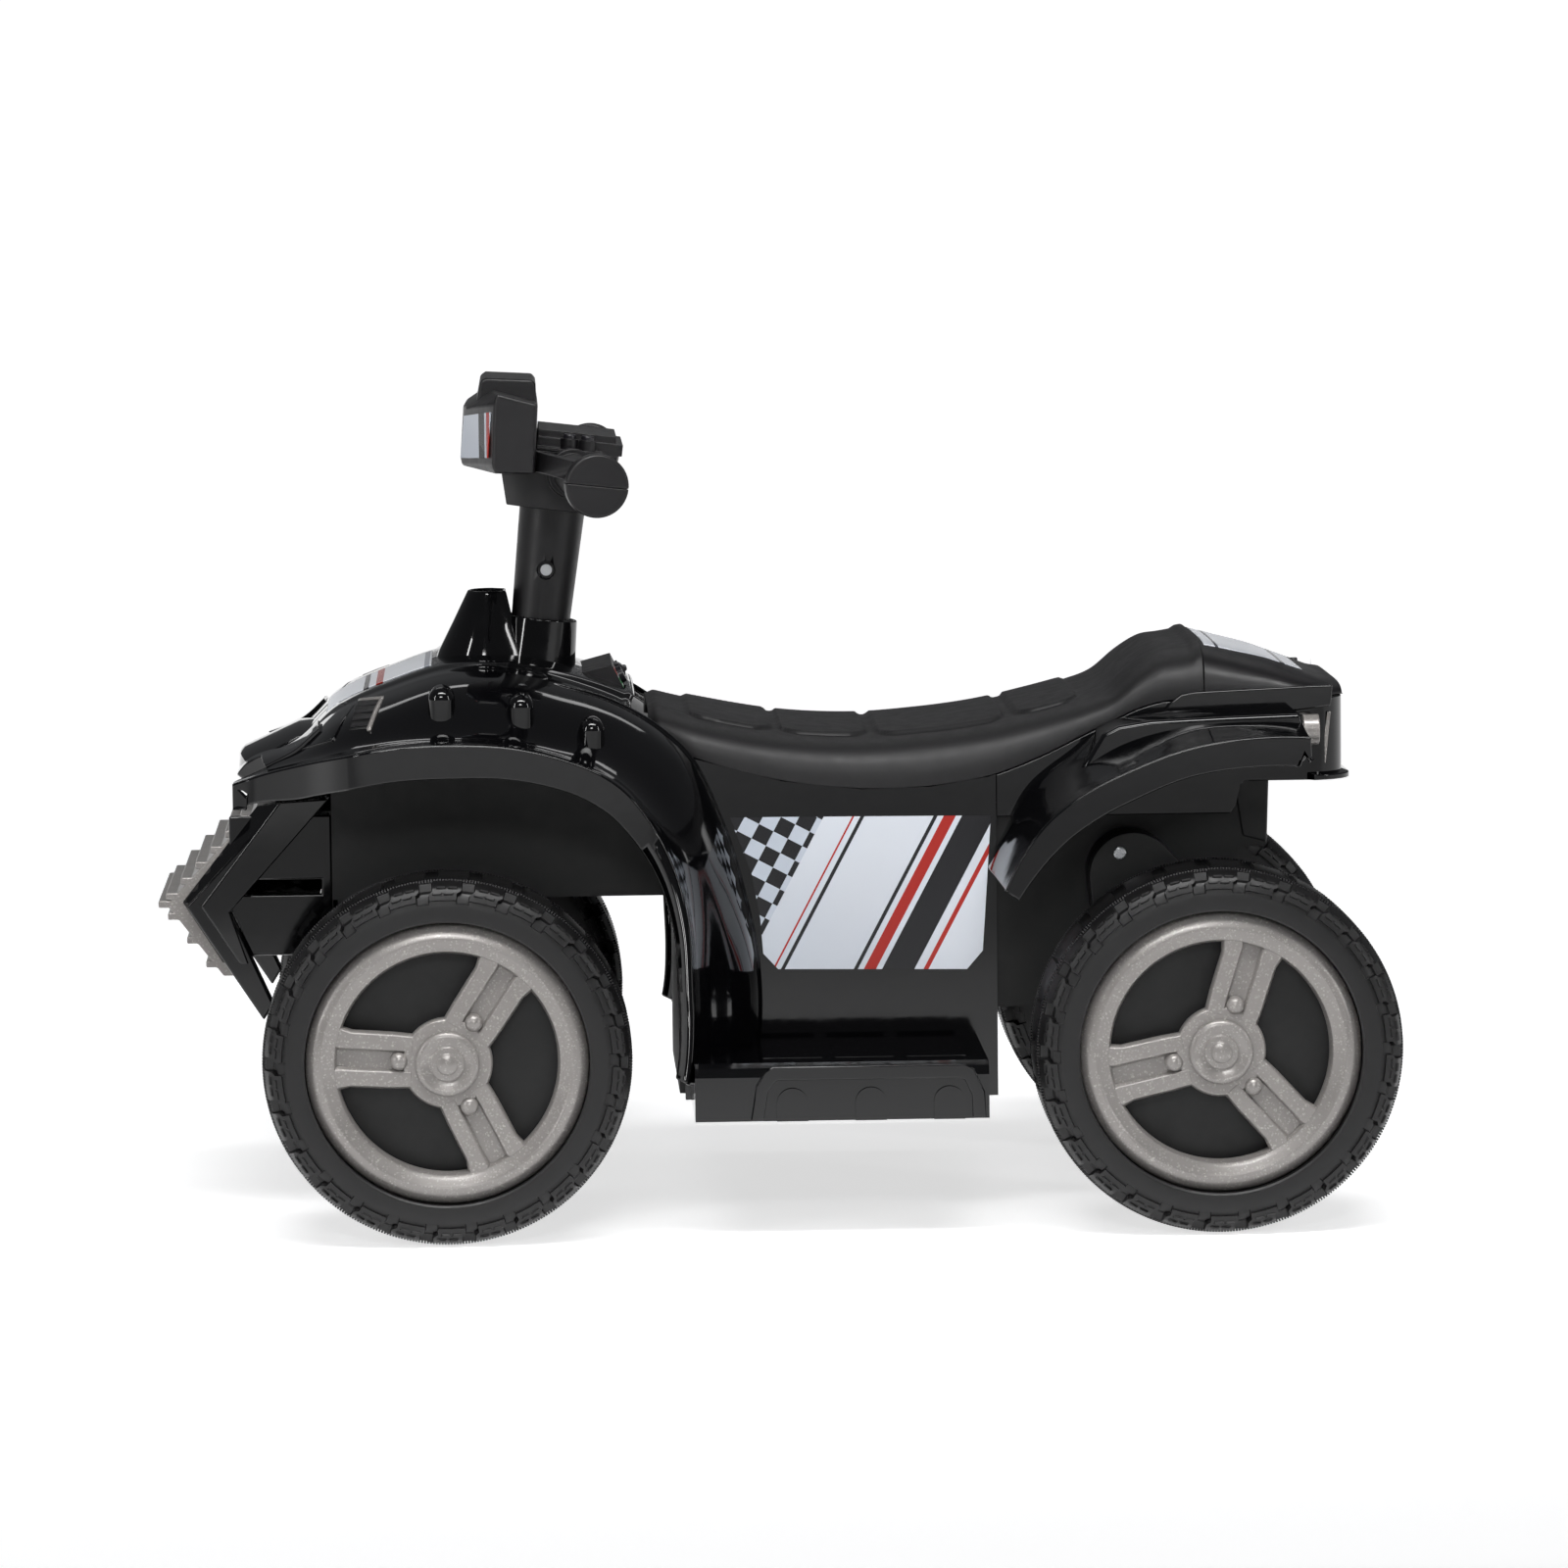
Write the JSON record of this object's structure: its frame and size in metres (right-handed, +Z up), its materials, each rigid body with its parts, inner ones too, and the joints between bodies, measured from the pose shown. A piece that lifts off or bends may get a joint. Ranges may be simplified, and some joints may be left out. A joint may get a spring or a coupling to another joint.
{
  "type": "kids quad bike",
  "caption": "Child's electric ride-on quad bike with plastic fairings, saddle seat, footboards, swept handlebar with shield, slatted bumper and chunky spoked wheels.",
  "frame": {"origin": "on the floor under the middle of the outer box", "axes": "+X forward, +Y to the rider's left, +Z up"},
  "size_m": [0.6802, 0.4, 0.4642],
  "materials": {
    "gloss_black": "gloss",
    "matt_black": "matt",
    "tyre_black": "matt",
    "silver_plastic": "satin metallic",
    "steel": "satin",
    "nylon": "satin",
    "lens": "gloss",
    "sticker": "satin",
    "plate": "satin",
    "button_red": "satin",
    "battery_grey": "matt"
  },
  "bodies": {
    "chassis": {"front_fairing": "gloss_black", "rear_fairing": "gloss_black", "tub": "gloss_black", "column_collar": "gloss_black", "intake_cowl": "gloss_black", "seat": "matt_black", "chassis": "matt_black", "tail_cover": "matt_black", "bumper_frame": "matt_black", "switch_pod": "matt_black", "gearbox_case": "matt_black", "gearbox_cover": "matt_black", "pedal_base": "matt_black", "front_axle_beam": "matt_black", "charge_socket": "matt_black", "bumper_guard": "silver_plastic", "tail_pipes": "silver_plastic", "rear_axle": "steel", "kingpins": "steel", "motor": "steel", "gearbox_screws": "steel", "bushes": "nylon", "headlamp_lenses": "lens", "side_decals": "sticker", "rear_plate": "plate", "battery": "battery_grey"},
    "steering": {"steering_column": "matt_black", "steering_rod": "steel", "column_screw": "steel", "handlebar_upper": "matt_black", "handlebar_lower": "matt_black", "handlebar_shield": "gloss_black", "dash_pod": "matt_black"},
    "knuckle_left": {"knuckle_left": "steel"},
    "knuckle_right": {"knuckle_right": "steel"},
    "tie_rod": {"tie_rod": "steel"},
    "wheel_front_left": {"tyre_front_left": "tyre_black", "wheel_disc_front_left": "matt_black", "rim_trim_front_left": "silver_plastic", "hub_cap_front_left": "silver_plastic"},
    "wheel_front_right": {"tyre_front_right": "tyre_black", "wheel_disc_front_right": "matt_black", "rim_trim_front_right": "silver_plastic", "hub_cap_front_right": "silver_plastic"},
    "wheel_rear_left": {"tyre_rear_left": "tyre_black", "wheel_disc_rear_left": "matt_black", "rim_trim_rear_left": "silver_plastic", "hub_cap_rear_left": "silver_plastic", "output_gear": "nylon"},
    "wheel_rear_right": {"tyre_rear_right": "tyre_black", "wheel_disc_rear_right": "matt_black", "rim_trim_rear_right": "silver_plastic", "hub_cap_rear_right": "silver_plastic"},
    "idler_gear": {"idler_gear": "nylon"},
    "motor_pinion": {"motor_pinion": "nylon"},
    "horn_button": {"horn_button": "button_red"},
    "music_button": {"music_button": "button_red"},
    "direction_rocker": {"direction_rocker": "button_red"},
    "power_button": {"power_button": "button_red"},
    "accelerator_pedal": {"accelerator_pedal": "matt_black"}
  },
  "joints": [
    {"name": "steering_turn", "type": "hinge", "parent": "chassis", "child": "steering", "pos_m": [0.1519, 0, 0.1005], "axis": [-0.1167, 0, 0.9932], "range_deg": [-30, 30]},
    {"name": "knuckle_left_turn", "type": "hinge", "parent": "chassis", "child": "knuckle_left", "pos_m": [0.1801, 0.118, 0.1005], "axis": [0, 0, 1], "range_deg": [-17, 17]},
    {"name": "knuckle_right_turn", "type": "hinge", "parent": "chassis", "child": "knuckle_right", "pos_m": [0.1801, -0.118, 0.1005], "axis": [0, 0, 1], "range_deg": [-17, 17]},
    {"name": "tie_rod_slide", "type": "slide", "parent": "chassis", "child": "tie_rod", "axis": [0, 1, 0], "range_m": [-0.0175, 0.0175]},
    {"name": "wheel_front_left_spin", "type": "hinge", "parent": "knuckle_left", "child": "wheel_front_left", "pos_m": [0.1801, 0.164, 0.1005], "axis": [0, 1, 0], "continuous": true},
    {"name": "wheel_front_right_spin", "type": "hinge", "parent": "knuckle_right", "child": "wheel_front_right", "pos_m": [0.1801, -0.164, 0.1005], "axis": [0, 1, 0], "continuous": true},
    {"name": "wheel_rear_left_spin", "type": "hinge", "parent": "chassis", "child": "wheel_rear_left", "pos_m": [-0.2396, 0.164, 0.1005], "axis": [0, 1, 0], "continuous": true},
    {"name": "wheel_rear_right_spin", "type": "hinge", "parent": "chassis", "child": "wheel_rear_right", "pos_m": [-0.2396, -0.164, 0.1005], "axis": [0, 1, 0], "continuous": true},
    {"name": "idler_spin", "type": "hinge", "parent": "chassis", "child": "idler_gear", "pos_m": [-0.21424, 0.1, 0.15488], "axis": [0, 1, 0], "continuous": true},
    {"name": "pinion_spin", "type": "hinge", "parent": "chassis", "child": "motor_pinion", "pos_m": [-0.19839, 0.095, 0.18887], "axis": [0, 1, 0], "continuous": true},
    {"name": "horn_press", "type": "slide", "parent": "steering", "child": "horn_button", "axis": [0.1167, 0, -0.9932], "range_m": [0, 0.002], "stiffness_N_per_m": 400},
    {"name": "music_press", "type": "slide", "parent": "steering", "child": "music_button", "axis": [0.1167, 0, -0.9932], "range_m": [0, 0.002], "stiffness_N_per_m": 400},
    {"name": "direction_rock", "type": "hinge", "parent": "chassis", "child": "direction_rocker", "pos_m": [0.0839, -0.01333, 0.29375], "axis": [0, 1, 0], "range_deg": [-10, 10]},
    {"name": "power_press", "type": "slide", "parent": "chassis", "child": "power_button", "axis": [0.8955, 0, -0.4451], "range_m": [0, 0.002], "stiffness_N_per_m": 400},
    {"name": "pedal_press", "type": "hinge", "parent": "chassis", "child": "accelerator_pedal", "pos_m": [-0.0723, -0.13955, 0.1076], "axis": [0, 1, 0], "range_deg": [0, 8], "stiffness_Nm_per_rad": 1.2, "springref_deg": -5.73}
  ],
  "couplings": [
    {"joint": "knuckle_left_turn", "follows": "steering_turn", "ratio": 0.54145},
    {"joint": "knuckle_right_turn", "follows": "steering_turn", "ratio": 0.54145},
    {"joint": "tie_rod_slide", "follows": "steering_turn", "m_per_rad": -0.032053},
    {"joint": "idler_spin", "follows": "wheel_rear_left_spin", "ratio": -3.8},
    {"joint": "pinion_spin", "follows": "wheel_rear_left_spin", "ratio": 15.2}
  ]
}
